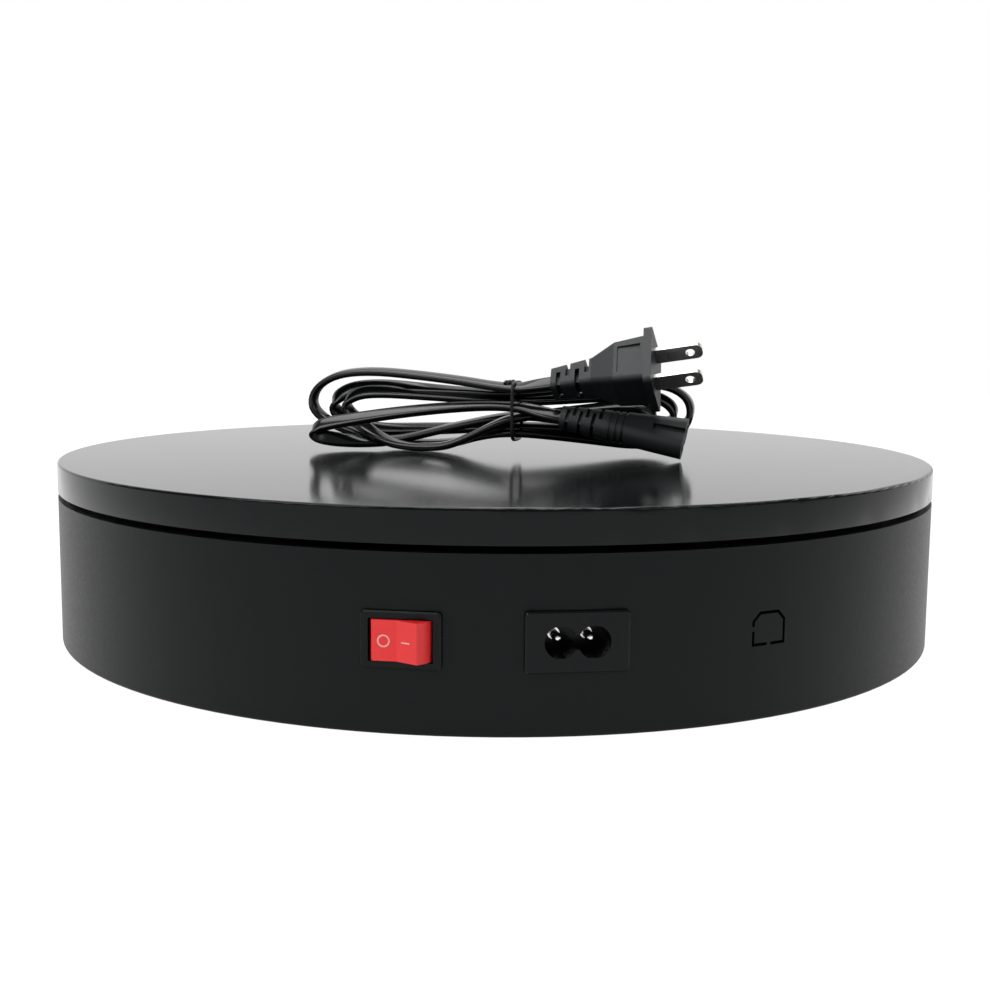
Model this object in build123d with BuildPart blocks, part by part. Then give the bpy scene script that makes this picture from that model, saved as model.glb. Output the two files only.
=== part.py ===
"""Rotating display turntable, 300 mm across, with its mains lead lying tied up on the platter.

Millimetres, +Z up. The origin is on the floor under the middle of the base, and the
side with the switch and the inlet faces -Y.
"""
import math
import os

from build123d import *

os.makedirs("parts", exist_ok=True)

# Overall
radius = 150.0              # platter and base
foot_drop = 1.0             # how far the feet stand out below the base
base_height = 47.5
platter_gap = 2.0           # dark line between base and platter
platter_rim = 9.5           # height of the platter's edge

# Walls
base_wall = 3.0
deck_thickness = 3.0
cover_thickness = 2.5
platter_plate = 3.0
platter_wall = 3.0
rib_thickness = 2.0
edge_round = 0.8

# Fits
loose = 0.3                 # between parts that are only laid together
snug = 0.1                  # between parts that locate each other
running = 0.05              # radial, shaft in its bush

# Heights that follow
base_bottom = foot_drop
deck_top = base_bottom + base_height
deck_bottom = deck_top - deck_thickness
cover_top = base_bottom + cover_thickness
platter_bottom = deck_top + platter_gap
platter_top = platter_bottom + platter_rim
plate_bottom = platter_top - platter_plate
inner_radius = radius - base_wall

# Screws: shank radius, and the head's radius and height
screw_shank = 1.45
screw_head = 2.8
screw_head_height = 1.3
screw_pilot = screw_shank + running
screw_hole = 1.7

# Cover, its screws and the feet
cover_radius = inner_radius - loose
cover_screw_count = 6
cover_screw_inset = 12.0    # from the wall's inner face
cover_screw_circle = inner_radius - cover_screw_inset
cover_screw_length = 10.0
cover_screw_turn = 30.0     # degrees, keeps the bosses beside the switch and the inlet
boss_radius = 4.5
foot_count = 4
foot_inset = 27.0           # from the wall's inner face
foot_circle = inner_radius - foot_inset
foot_radius = 8.0
foot_recess = 1.0
foot_turn = 45.0

# Ball race that carries the platter
race_circle = 60.0
race_width = 14.0
race_thickness = 2.5
ball_radius = 2.95
ball_count = 10
ball_seat = 0.15            # between ball and groove
cage_width = 8.4
cage_thickness = 2.0
race_lip = 1.5              # height of the ribs that hold the races in place
race_lip_width = 1.5

# Motor, hung under the deck by two ears
motor_radius = 25.0
motor_height = 20.0
motor_plate = 1.2
motor_ear_reach = 30.0
motor_ear_radius = 5.0
motor_drop = 5.0            # from the deck to the ears
motor_bush_radius = 6.0
motor_bush_height = 3.0
motor_nub_height = 1.5      # under the case, where the rotor turns
motor_screw_length = 7.0
shaft_radius = 3.5
shaft_flat = 0.5            # depth of the flat on the shaft
shaft_in_motor = 6.0

# Hub that joins the shaft to the platter
hub_radius = 18.0
hub_plate = 2.5
hub_collar_radius = 8.0
hub_collar_length = 7.0
hub_screw_count = 4
hub_screw_circle = 13.0
hub_screw_length = 6.0
hub_screw_turn = 45.0
platter_boss_radius = 20.0
platter_boss_drop = 3.0
set_screw_radius = 1.45
deck_hole_radius = 11.0

# Ribs
deck_rib_count = 12
deck_rib_turn = 15.0        # degrees, between the ears and bosses
deck_rib_drop = 6.0
deck_rib_inner = 36.0
cover_rib_height = 4.0
platter_rib_count = 12
platter_rib_drop = 4.0
platter_ring_radii = (78.0, 112.0)

# Things in the front wall: degrees right of the middle, and height
fitting_height = 26.0
switch_angle = -9.0
inlet_angle = 8.1
knockout_angle = 29.2
seat_depth = 0.7            # flat cut into the wall for a flange
flange_thickness = 1.8
flange_corner = 1.0
flange_chamfer = 0.4
fitting_slip = 0.2          # round a fitting's body in its cut-out

# Rocker switch
switch_flange = (21.0, 15.0)
switch_body = (19.0, 12.9)
switch_depth = 14.0
switch_floor = 2.0
rocker_half = 7.3           # middle of the rocker to its ridge
rocker_height = 10.6
rocker_rise = 0.6           # pressed end above the flange
rocker_pivot_depth = 3.0
rocker_travel = 26.0        # degrees between off and on
rocker_slip = 0.3
rocker_pin_radius = 1.25
rocker_pin_length = 0.7
rocker_skirt = 6.0
terminal_size = (0.8, 4.8)
terminal_length = 7.0
terminal_spacing = 7.0

# Inlet with two round pins
inlet_flange = (27.0, 16.0)
inlet_body = (22.0, 12.0)
inlet_depth = 15.0
inlet_socket_depth = 11.0
inlet_lobe_radius = 4.3
inlet_lobe_cut = 4.1        # flat top and bottom of each lobe
inlet_neck = 3.8
pin_spacing = 8.6
pin_radius = 1.18
pin_tip_round = 0.95
pin_shank_radius = 1.6      # behind the socket's floor
pin_recess = 4.8
pin_tail = 5.0

# Knock-out panel for another fitting
knockout_size = (10.4, 8.5)
knockout_corner = 2.2
knockout_groove = 0.8
knockout_bridge = 1.2

# Leads inside the base, and the block on the motor where two of them go in
lead_radius = 1.1
lead_bend = 0.45            # a bend's share of the shorter run beside it
lead_spacing = 5.0
lead_straight = 8.0         # straight run out of the motor
lead_block_width = 10.0
lead_block_height = 8.0
lead_block_depth = 2.0
lead_block_up = 10.5        # from the motor's underside to the block's middle

# Mains lead, tied up on the platter
cord_width = 5.4
cord_thickness = 2.7
cord_corner = 0.9
hank_place = (6.5, -5.0)    # where the tie stands on the platter
hank_turn = -17.4           # degrees that the hank is turned
waist_step = 3.12           # between strands, one above the other, at the tie
waist_low = 3.2             # lowest strand's middle above the platter
waist_half = 3.1            # strands lie in two columns, this far either side
shoulder_lean = 0.4         # how far a strand's slope carries on into its bend

# Wire tie round the hank
tie_wire = 1.2
tie_clear = 0.5
tie_corner = 3.0
tie_tail_length = 8.0
tie_tail_radius = 0.95

# Strain reliefs of plug and connector: slots cut in from either side down to a core
relief_core = (7.0, 4.6)
relief_first = 2.0
relief_overlap = 1.2        # how far a slot reaches past the middle

# Plug, its sections a width and a height at a distance from the strain relief's end
plug_roll = 45.0            # degrees that plug and connector lie rolled over
plug_relief = (9.5, 7.0)
plug_neck = (12.0, 9.4)
plug_shoulder = (18.8, 14.4)
plug_back = (20.7, 15.0)
plug_flange = (26.0, 17.0)
plug_neck_at = 14.6
plug_shoulder_at = 23.0
plug_back_at = 33.5
plug_flange_thickness = 2.8
plug_corner = 1.8
plug_slots = 4
plug_slot = 1.6
plug_slot_pitch = 3.4
plug_panel = (8.0, 12.0)    # bare sunk panel on the broad face
plug_panel_depth = 0.4
blade_spacing = 12.7
blade_width = 6.35
blade_thickness = 1.5
blade_length = 15.9
blade_hole = 1.6
blade_hole_from_tip = 4.2
blade_round = 2.4

# Connector
connector_relief = (8.6, 6.4)
connector_neck = (11.4, 8.4)
connector_tip = (15.8, 8.6)
connector_neck_at = 16.5
connector_length = 43.2
connector_slots = 6
connector_slot = 1.2
connector_slot_pitch = 2.3
ring_grooves = 3
ring_groove = 1.0
ring_groove_depth = 0.25
ring_groove_pitch = 2.2
key_groove_width = 2.4
key_groove_depth = 1.3
key_groove_length = 11.0
socket_radius = 1.45
socket_depth = 12.0


def on_wall(angle, height):
    """Plane on the base's wall, facing out, with its Y up."""
    a = math.radians(angle)
    return Plane(
        origin=(radius * math.sin(a), -radius * math.cos(a), height),
        x_dir=(math.cos(a), math.sin(a), 0),
        z_dir=(math.sin(a), -math.cos(a), 0),
    )


def rounded_flange(size):
    RectangleRounded(size[0], size[1], flange_corner)


def finish(piece, label):
    piece.part.label = label
    export_step(piece.part, "parts/" + label + ".step")


switch_plane = on_wall(switch_angle, fitting_height)
inlet_plane = on_wall(inlet_angle, fitting_height)
knockout_plane = on_wall(knockout_angle, fitting_height)

# Rocker's turning circle, from its axis to the ridge of a pressed end
rocker_reach = math.hypot(rocker_half, rocker_rise + rocker_pivot_depth)
rocker_pocket = 2 * (rocker_reach + rocker_slip)
rocker_window = rocker_height + 2 * rocker_slip

motor_top = deck_bottom - motor_drop
motor_case_top = motor_top - motor_plate
motor_bottom = motor_case_top - motor_height
motor_lead_face = -motor_radius - lead_block_depth
lead_height = motor_bottom + lead_block_up
shaft_bottom = motor_case_top - shaft_in_motor
boss_bottom = plate_bottom - platter_boss_drop
hub_bottom = boss_bottom - hub_plate
collar_bottom = hub_bottom - hub_collar_length
shaft_top = boss_bottom - loose
ball_middle = (deck_top + plate_bottom) / 2
groove_radius = ball_radius + ball_seat


# Base housing
def knockout_outline(grow):
    """The knock-out's outline, its top corners cut off, made larger by grow all round."""
    half = knockout_size[0] / 2 + grow
    top = knockout_size[1] / 2 + grow
    cut = knockout_corner + grow * (2 - math.sqrt(2))
    Polygon(
        (-half, -top),
        (half, -top),
        (half, top - cut),
        (half - cut, top),
        (cut - half, top),
        (-half, top - cut),
        align=None,
    )


with BuildPart() as base_housing:
    with BuildSketch(Plane.XY.offset(base_bottom)):
        Circle(radius)
    extrude(amount=base_height)
    fillet(base_housing.edges().group_by(Axis.Z)[0], edge_round)
    with BuildSketch(Plane.XY.offset(base_bottom)):
        Circle(inner_radius)
    extrude(amount=base_height - deck_thickness, mode=Mode.SUBTRACT)
    # Ribs under the deck, between the motor and the wall
    with BuildSketch(Plane.XY.offset(deck_bottom - deck_rib_drop)):
        with PolarLocations(
            (deck_rib_inner + inner_radius) / 2, deck_rib_count, start_angle=deck_rib_turn
        ):
            Rectangle(inner_radius - deck_rib_inner + rib_thickness, rib_thickness)
        with BuildSketch(mode=Mode.PRIVATE) as rib_under_race:
            Circle(race_circle + rib_thickness / 2)
            Circle(race_circle - rib_thickness / 2, mode=Mode.SUBTRACT)
        add(rib_under_race.sketch)
    extrude(amount=deck_rib_drop)
    # Bosses for the cover's screws
    with BuildSketch(Plane.XY.offset(cover_top)):
        with PolarLocations(cover_screw_circle, cover_screw_count, start_angle=cover_screw_turn):
            Circle(boss_radius)
    extrude(amount=deck_bottom - cover_top)
    with BuildSketch(Plane.XY.offset(cover_top)):
        with PolarLocations(cover_screw_circle, cover_screw_count, start_angle=cover_screw_turn):
            Circle(screw_pilot)
    extrude(amount=cover_screw_length, mode=Mode.SUBTRACT)
    # Bosses for the motor's ears
    with BuildSketch(Plane.XY.offset(motor_top)):
        with PolarLocations(motor_ear_reach, 2):
            Circle(motor_ear_radius)
    extrude(amount=motor_drop)
    with BuildSketch(Plane.XY.offset(motor_top)):
        with PolarLocations(motor_ear_reach, 2):
            Circle(screw_pilot)
    extrude(amount=motor_screw_length, mode=Mode.SUBTRACT)
    # Ribs on the deck that hold the lower race
    with BuildSketch(Plane.XY.offset(deck_top)):
        Circle(race_circle - race_width / 2 - snug)
        Circle(race_circle - race_width / 2 - snug - race_lip_width, mode=Mode.SUBTRACT)
    extrude(amount=race_lip)
    with BuildSketch(Plane.XY.offset(deck_top)):
        Circle(race_circle + race_width / 2 + snug + race_lip_width)
        Circle(race_circle + race_width / 2 + snug, mode=Mode.SUBTRACT)
    extrude(amount=race_lip)
    # Hole for the hub
    with BuildSketch(Plane.XY.offset(deck_bottom)):
        Circle(deck_hole_radius)
    extrude(amount=deck_thickness, mode=Mode.SUBTRACT)
    # Seats and cut-outs for the switch and the inlet
    for plane, flange, body in (
        (switch_plane, switch_flange, switch_body),
        (inlet_plane, inlet_flange, inlet_body),
    ):
        with BuildSketch(plane.offset(-seat_depth)):
            RectangleRounded(flange[0] + 2 * snug, flange[1] + 2 * snug, flange_corner)
        extrude(amount=seat_depth + loose, mode=Mode.SUBTRACT)
        with BuildSketch(plane.offset(-2 * base_wall)):
            Rectangle(body[0] + 2 * fitting_slip, body[1] + 2 * fitting_slip)
        extrude(amount=2 * base_wall, mode=Mode.SUBTRACT)
    # Knock-out, cut round but for two bridges
    with BuildSketch(knockout_plane.offset(-2 * base_wall)):
        knockout_outline(knockout_groove / 2)
        with BuildSketch(mode=Mode.PRIVATE) as panel:
            knockout_outline(-knockout_groove / 2)
        add(panel.sketch, mode=Mode.SUBTRACT)
        with Locations((0, -knockout_size[1] / 2)):
            Rectangle(knockout_bridge, 2 * knockout_groove, mode=Mode.SUBTRACT)
        with Locations((-knockout_size[0] / 2, 0)):
            Rectangle(2 * knockout_groove, knockout_bridge, mode=Mode.SUBTRACT)
    extrude(amount=2 * base_wall + loose, mode=Mode.SUBTRACT)
finish(base_housing, "base_housing")

# Bottom cover, its screws and the feet
with BuildPart() as bottom_cover:
    with BuildSketch(Plane.XY.offset(base_bottom)):
        Circle(cover_radius)
    extrude(amount=cover_thickness)
    with BuildSketch(Plane.XY.offset(base_bottom)):
        with PolarLocations(cover_screw_circle, cover_screw_count, start_angle=cover_screw_turn):
            Circle(screw_hole)
    extrude(amount=cover_thickness, mode=Mode.SUBTRACT)
    with BuildSketch(Plane.XY.offset(base_bottom)):
        with PolarLocations(cover_screw_circle, cover_screw_count, start_angle=cover_screw_turn):
            Circle(screw_head + loose)
    extrude(amount=screw_head_height + snug, mode=Mode.SUBTRACT)
    with BuildSketch(Plane.XY.offset(base_bottom)):
        with PolarLocations(foot_circle, foot_count, start_angle=foot_turn):
            Circle(foot_radius + snug)
    extrude(amount=foot_recess, mode=Mode.SUBTRACT)
    # Stiffening ring inside
    with BuildSketch(Plane.XY.offset(cover_top)):
        Circle(race_circle + rib_thickness / 2)
        Circle(race_circle - rib_thickness / 2, mode=Mode.SUBTRACT)
    extrude(amount=cover_rib_height)
finish(bottom_cover, "bottom_cover")


def screw_ring(circle, count, first_angle, head_bottom, length):
    """Pan-head screws standing up from head_bottom, evenly spaced on a circle."""
    with BuildPart() as screws:
        with BuildSketch(Plane.XY.offset(head_bottom)):
            with PolarLocations(circle, count, start_angle=first_angle):
                Circle(screw_head)
        extrude(amount=screw_head_height)
        with BuildSketch(Plane.XY.offset(head_bottom + screw_head_height)):
            with PolarLocations(circle, count, start_angle=first_angle):
                Circle(screw_shank)
        extrude(amount=length)
    return screws


cover_screws = screw_ring(
    cover_screw_circle, cover_screw_count, cover_screw_turn, base_bottom + snug, cover_screw_length
)
finish(cover_screws, "cover_screws")

for number in range(foot_count):
    foot_angle = math.radians(foot_turn + number * 360 / foot_count)
    foot_middle = (foot_circle * math.cos(foot_angle), foot_circle * math.sin(foot_angle))
    with BuildPart() as rubber_foot:
        with BuildSketch(Plane(origin=(*foot_middle, 0))):
            Circle(foot_radius)
        extrude(amount=foot_drop + foot_recess)
        chamfer(rubber_foot.edges().group_by(Axis.Z)[0], foot_drop / 2)
    finish(rubber_foot, f"rubber_foot_{number + 1}")


# Ball race: two grooved rings, a cage and the balls
def grooved_ring(bottom):
    with BuildPart() as ring:
        with BuildSketch(Plane.XZ):
            with Locations((race_circle, bottom + race_thickness / 2)):
                Rectangle(race_width, race_thickness)
            with Locations((race_circle, ball_middle)):
                Circle(groove_radius, mode=Mode.SUBTRACT)
        revolve(axis=Axis.Z)
    return ring


bearing_lower_race = grooved_ring(deck_top)
finish(bearing_lower_race, "bearing_lower_race")

bearing_upper_race = grooved_ring(plate_bottom - race_thickness)
finish(bearing_upper_race, "bearing_upper_race")

with BuildPart() as bearing_cage:
    with BuildSketch(Plane.XY.offset(ball_middle - cage_thickness / 2)):
        Circle(race_circle + cage_width / 2)
        Circle(race_circle - cage_width / 2, mode=Mode.SUBTRACT)
        with PolarLocations(race_circle, ball_count):
            Circle(ball_radius + ball_seat, mode=Mode.SUBTRACT)
    extrude(amount=cage_thickness)
finish(bearing_cage, "bearing_cage")

with BuildPart() as bearing_balls:
    with Locations(Location((0, 0, ball_middle))):
        with PolarLocations(race_circle, ball_count):
            Sphere(ball_radius)
finish(bearing_balls, "bearing_balls")

# Motor: case, plate with ears, bush, shaft and screws
with BuildPart() as motor_can:
    with BuildSketch(Plane.XY.offset(motor_bottom)):
        Circle(motor_radius)
    extrude(amount=motor_height)
    fillet(motor_can.edges().group_by(Axis.Z)[0], 2 * edge_round)
    with BuildSketch(Plane.XY.offset(motor_bottom)):
        Circle(motor_bush_radius)
    extrude(amount=-motor_nub_height)
    # Block on the side where the leads go in
    with BuildSketch(Plane.XY.offset(lead_height - lead_block_height / 2)):
        with Locations((0, motor_lead_face + motor_radius / 2)):
            Rectangle(lead_block_width, motor_radius)
    extrude(amount=lead_block_height)
    with BuildSketch(Plane.XY.offset(motor_case_top)):
        Circle(shaft_radius + loose)
    extrude(amount=-shaft_in_motor - loose, mode=Mode.SUBTRACT)
finish(motor_can, "motor_can")

with BuildPart() as motor_end_plate:
    with BuildSketch(Plane.XY.offset(motor_case_top)):
        Circle(motor_radius)
        SlotCenterToCenter(2 * motor_ear_reach, 2 * motor_ear_radius)
        Circle(motor_bush_radius + snug, mode=Mode.SUBTRACT)
        with PolarLocations(motor_ear_reach, 2):
            Circle(screw_hole, mode=Mode.SUBTRACT)
    extrude(amount=motor_plate)
finish(motor_end_plate, "motor_end_plate")

with BuildPart() as motor_bush:
    with BuildSketch(Plane.XY.offset(motor_case_top)):
        Circle(motor_bush_radius)
        Circle(shaft_radius + running, mode=Mode.SUBTRACT)
    extrude(amount=motor_plate + motor_bush_height)
    chamfer(motor_bush.edges().group_by(Axis.Z)[-1], shaft_flat)
finish(motor_bush, "motor_bush")

with BuildPart() as motor_shaft:
    with BuildSketch(Plane.XY.offset(shaft_bottom)):
        Circle(shaft_radius)
    extrude(amount=shaft_top - shaft_bottom)
    # Flat for the set screw
    with BuildSketch(Plane.XY.offset(collar_bottom)):
        with Locations((2 * shaft_radius - shaft_flat, 0)):
            Rectangle(2 * shaft_radius, 2 * shaft_radius)
    extrude(amount=shaft_top - collar_bottom, mode=Mode.SUBTRACT)
finish(motor_shaft, "motor_shaft")

motor_screws = screw_ring(
    motor_ear_reach, 2, 0, motor_case_top - screw_head_height, motor_screw_length
)
finish(motor_screws, "motor_screws")

# Hub, its screws and the set screw
with BuildPart() as drive_hub:
    with BuildSketch(Plane.XY.offset(hub_bottom)):
        Circle(hub_radius)
    extrude(amount=hub_plate)
    with BuildSketch(Plane.XY.offset(collar_bottom)):
        Circle(hub_collar_radius)
    extrude(amount=hub_collar_length)
    with BuildSketch(Plane.XY.offset(collar_bottom)):
        Circle(shaft_radius + running)
        with Locations((2 * shaft_radius - shaft_flat + running, 0)):
            Rectangle(2 * shaft_radius, 2 * shaft_radius, mode=Mode.SUBTRACT)
    extrude(amount=hub_collar_length + hub_plate, mode=Mode.SUBTRACT)
    with BuildSketch(Plane.XY.offset(hub_bottom)):
        with PolarLocations(hub_screw_circle, hub_screw_count, start_angle=hub_screw_turn):
            Circle(screw_hole)
    extrude(amount=hub_plate, mode=Mode.SUBTRACT)
    with BuildSketch(Plane.YZ):
        with Locations((0, collar_bottom + hub_collar_length / 2)):
            Circle(set_screw_radius + running)
    extrude(amount=hub_collar_radius, mode=Mode.SUBTRACT)
finish(drive_hub, "drive_hub")

hub_screws = screw_ring(
    hub_screw_circle, hub_screw_count, hub_screw_turn, hub_bottom - screw_head_height, hub_screw_length
)
finish(hub_screws, "hub_screws")

with BuildPart() as hub_set_screw:
    set_screw_tip = shaft_radius - shaft_flat + running
    with BuildSketch(Plane.YZ.offset(set_screw_tip)):
        with Locations((0, collar_bottom + hub_collar_length / 2)):
            Circle(set_screw_radius)
    extrude(amount=hub_collar_radius - set_screw_tip)
    with BuildSketch(Plane.YZ.offset(hub_collar_radius)):
        with Locations((0, collar_bottom + hub_collar_length / 2)):
            RegularPolygon(set_screw_radius / 2, 6)
    extrude(amount=-set_screw_radius, mode=Mode.SUBTRACT)
finish(hub_set_screw, "hub_set_screw")

# Platter
with BuildPart() as platter:
    with BuildSketch(Plane.XY.offset(platter_bottom)):
        Circle(radius)
    extrude(amount=platter_rim)
    fillet(platter.edges().group_by(Axis.Z)[-1], edge_round)
    with BuildSketch(Plane.XY.offset(platter_bottom)):
        Circle(radius - platter_wall)
    extrude(amount=platter_rim - platter_plate, mode=Mode.SUBTRACT)
    with BuildSketch(Plane.XY.offset(plate_bottom)):
        Circle(platter_boss_radius)
    extrude(amount=-platter_boss_drop)
    with BuildSketch(Plane.XY.offset(plate_bottom - platter_rib_drop)):
        for ring_radius in platter_ring_radii:
            with BuildSketch(mode=Mode.PRIVATE) as ring:
                Circle(ring_radius + rib_thickness / 2)
                Circle(ring_radius - rib_thickness / 2, mode=Mode.SUBTRACT)
            add(ring.sketch)
        rib_inner = platter_ring_radii[0]
        rib_outer = radius - platter_wall / 2
        with PolarLocations((rib_inner + rib_outer) / 2, platter_rib_count):
            Rectangle(rib_outer - rib_inner, rib_thickness)
    extrude(amount=platter_rib_drop)
    # Rib inside the upper race
    with BuildSketch(Plane.XY.offset(plate_bottom - race_lip)):
        Circle(race_circle - race_width / 2 - snug)
        Circle(race_circle - race_width / 2 - snug - race_lip_width, mode=Mode.SUBTRACT)
    extrude(amount=race_lip)
    with BuildSketch(Plane.XY.offset(boss_bottom)):
        with PolarLocations(hub_screw_circle, hub_screw_count, start_angle=hub_screw_turn):
            Circle(screw_pilot)
    extrude(amount=hub_screw_length - hub_plate + snug, mode=Mode.SUBTRACT)
finish(platter, "platter")


# Rocker switch
def ridge_at(turn, side):
    """A ridge of the rocker, in the wall's plane, after the rocker has turned by turn degrees.

    Returns how far right of the switch's middle and how far out of the wall it lies.
    """
    a = math.radians(turn)
    across = side * rocker_half
    out = rocker_rise + rocker_pivot_depth
    return (
        across * math.cos(a) - out * math.sin(a),
        across * math.sin(a) + out * math.cos(a) - rocker_pivot_depth,
    )


switch_face = flange_thickness - seat_depth
with BuildPart() as switch_housing:
    with BuildSketch(switch_plane.offset(-seat_depth)):
        rounded_flange(switch_flange)
    extrude(amount=flange_thickness)
    front = switch_housing.faces().sort_by(Axis((0, 0, 0), switch_plane.z_dir))[-1]
    chamfer(front.edges(), flange_chamfer)
    with BuildSketch(switch_plane.offset(-seat_depth)):
        Rectangle(*switch_body)
    extrude(amount=-switch_depth)
    with BuildSketch(switch_plane.offset(switch_face)):
        Rectangle(rocker_pocket, rocker_window)
    extrude(amount=-(switch_depth + flange_thickness - switch_floor), mode=Mode.SUBTRACT)
    # Holes for the rocker's pins
    pin_depth = switch_face - rocker_pivot_depth
    with BuildSketch(Plane(
        origin=switch_plane.from_local_coords(Vector(0, -rocker_window / 2 - rocker_pin_length, pin_depth)),
        x_dir=switch_plane.x_dir,
        z_dir=(0, 0, 1),
    )):
        Circle(rocker_pin_radius + running)
    extrude(amount=rocker_window + 2 * rocker_pin_length, mode=Mode.SUBTRACT)
finish(switch_housing, "switch_housing")

# Rocker, drawn in a plane seen from above: across to the right, out of the wall towards -Y
rocker_plane = Plane(
    origin=switch_plane.from_local_coords(Vector(0, -rocker_height / 2, switch_face)),
    x_dir=switch_plane.x_dir,
    z_dir=(0, 0, 1),
)
with BuildPart() as switch_rocker:
    left_ridge = ridge_at(0, -1)
    right_ridge = ridge_at(rocker_travel, 1)
    slope = math.tan(math.radians(rocker_travel))
    valley = right_ridge[0] - (right_ridge[1] - left_ridge[1]) / slope
    skirt_half = rocker_reach * math.cos(math.asin((rocker_skirt - rocker_pivot_depth) / rocker_reach))
    with BuildSketch(rocker_plane):
        with BuildLine():
            # Local Y points into the wall, so every distance out of it is negated
            Polyline(
                (left_ridge[0], -left_ridge[1]),
                (valley, -left_ridge[1]),
                (right_ridge[0], -right_ridge[1]),
            )
            right_foot = (skirt_half, rocker_skirt)
            left_foot = (-skirt_half, rocker_skirt)
            right_side = (rocker_reach, rocker_pivot_depth)
            left_side = (-rocker_reach, rocker_pivot_depth)
            ThreePointArc((right_ridge[0], -right_ridge[1]), right_side, right_foot)
            Line(right_foot, left_foot)
            ThreePointArc(left_foot, left_side, (left_ridge[0], -left_ridge[1]))
        make_face()
    extrude(amount=rocker_height)
    with BuildSketch(rocker_plane.offset(-rocker_slip - rocker_pin_length + snug)):
        with Locations((0, rocker_pivot_depth)):
            Circle(rocker_pin_radius)
    extrude(amount=rocker_height + 2 * (rocker_slip + rocker_pin_length - snug))
finish(switch_rocker, "switch_rocker")

with BuildPart() as switch_terminals:
    with BuildSketch(switch_plane.offset(-seat_depth - switch_depth)):
        with GridLocations(terminal_spacing, 0, 2, 1):
            Rectangle(*terminal_size)
    extrude(amount=-terminal_length)
finish(switch_terminals, "switch_terminals")


# Inlet
def figure_eight(radius_of_lobe, cut, neck):
    with GridLocations(pin_spacing, 0, 2, 1):
        Circle(radius_of_lobe)
    with GridLocations(0, 2 * cut + radius_of_lobe, 1, 2):
        Rectangle(2 * pin_spacing, radius_of_lobe, mode=Mode.SUBTRACT)
    Rectangle(pin_spacing / 2, neck)


inlet_face = flange_thickness - seat_depth
with BuildPart() as inlet_housing:
    with BuildSketch(inlet_plane.offset(-seat_depth)):
        rounded_flange(inlet_flange)
    extrude(amount=flange_thickness)
    front = inlet_housing.faces().sort_by(Axis((0, 0, 0), inlet_plane.z_dir))[-1]
    chamfer(front.edges(), flange_chamfer)
    with BuildSketch(inlet_plane.offset(-seat_depth)):
        Rectangle(*inlet_body)
    extrude(amount=-inlet_depth)
    with BuildSketch(inlet_plane.offset(inlet_face)):
        figure_eight(inlet_lobe_radius, inlet_lobe_cut, inlet_neck)
    extrude(amount=-inlet_socket_depth, mode=Mode.SUBTRACT)
    # Holes that the pins' thicker shanks pass through to the back
    with BuildSketch(inlet_plane.offset(inlet_face - inlet_socket_depth)):
        with GridLocations(pin_spacing, 0, 2, 1):
            Circle(pin_shank_radius + running)
    extrude(amount=-inlet_depth, mode=Mode.SUBTRACT)
finish(inlet_housing, "inlet_housing")

with BuildPart() as inlet_pins:
    with BuildSketch(inlet_plane.offset(inlet_face - pin_recess)):
        with GridLocations(pin_spacing, 0, 2, 1):
            Circle(pin_radius)
    extrude(amount=pin_recess - inlet_socket_depth)
    tips = inlet_pins.faces().group_by(Axis((0, 0, 0), inlet_plane.z_dir))[-1]
    fillet(tips.edges(), pin_tip_round)
    with BuildSketch(inlet_plane.offset(inlet_face - inlet_socket_depth)):
        with GridLocations(pin_spacing, 0, 2, 1):
            Circle(pin_shank_radius)
    extrude(amount=-(inlet_face - inlet_socket_depth + seat_depth + inlet_depth + pin_tail))
finish(inlet_pins, "inlet_pins")

# Leads inside the base, from tag to tag, given by places chosen by hand
pin_tail_out = -(seat_depth + inlet_depth + pin_tail)
terminal_out = -(seat_depth + switch_depth + terminal_length)


def lead(points, label):
    """A round lead through the points, its bends as wide as the runs beside them allow."""
    places = [Vector(*point) for point in points]
    runs = [b - a for a, b in zip(places, places[1:])]
    bends = []
    for before, after in zip(runs, runs[1:]):
        half_turn = math.radians(before.get_angle(after)) / 2
        bends.append(lead_bend * min(before.length, after.length) / math.tan(half_turn))
    print(label, "bend radii", [round(bend, 1) for bend in bends])
    with BuildPart() as wire:
        with BuildLine() as route:
            FilletPolyline(*places, radius=bends)
        with BuildSketch(Plane(origin=places[0], z_dir=runs[0])):
            Circle(lead_radius)
        sweep(path=route.line)
    finish(wire, label)


def at_inlet(across, up, out):
    return inlet_plane.from_local_coords(Vector(across, up, out))


def at_switch(across, up, out):
    return switch_plane.from_local_coords(Vector(across, up, out))


def at_front(across, up, out):
    return on_wall(0, fitting_height).from_local_coords(Vector(across, up, out))


def at_motor(across, up, out):
    return Vector(across, motor_lead_face - out, lead_height + up)


lead(
    [
        at_inlet(-pin_spacing / 2, 0, pin_tail_out),
        at_inlet(-pin_spacing / 2, 0, pin_tail_out - 12),
        at_front(0, -4, -39),
        at_switch(terminal_spacing / 2, 0, terminal_out - 12),
        at_switch(terminal_spacing / 2, 0, terminal_out),
    ],
    "inlet_switch_lead",
)
lead(
    [
        at_switch(-terminal_spacing / 2, 0, terminal_out),
        at_switch(-terminal_spacing / 2, 0, terminal_out - 16),
        at_front(-20, -12, -62),
        at_front(-13, -14, -86),
        at_motor(-5, -8.8, 19),
        at_motor(-lead_spacing / 2, 0, lead_straight),
        at_motor(-lead_spacing / 2, 0, 0),
    ],
    "switch_motor_lead",
)
lead(
    [
        at_inlet(pin_spacing / 2, 0, pin_tail_out),
        at_inlet(pin_spacing / 2, 0, pin_tail_out - 16),
        at_front(23, -13, -63),
        at_front(16, -15, -88),
        at_motor(6, -8.8, 18),
        at_motor(lead_spacing / 2, 0, lead_straight),
        at_motor(lead_spacing / 2, 0, 0),
    ],
    "inlet_motor_lead",
)


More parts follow.
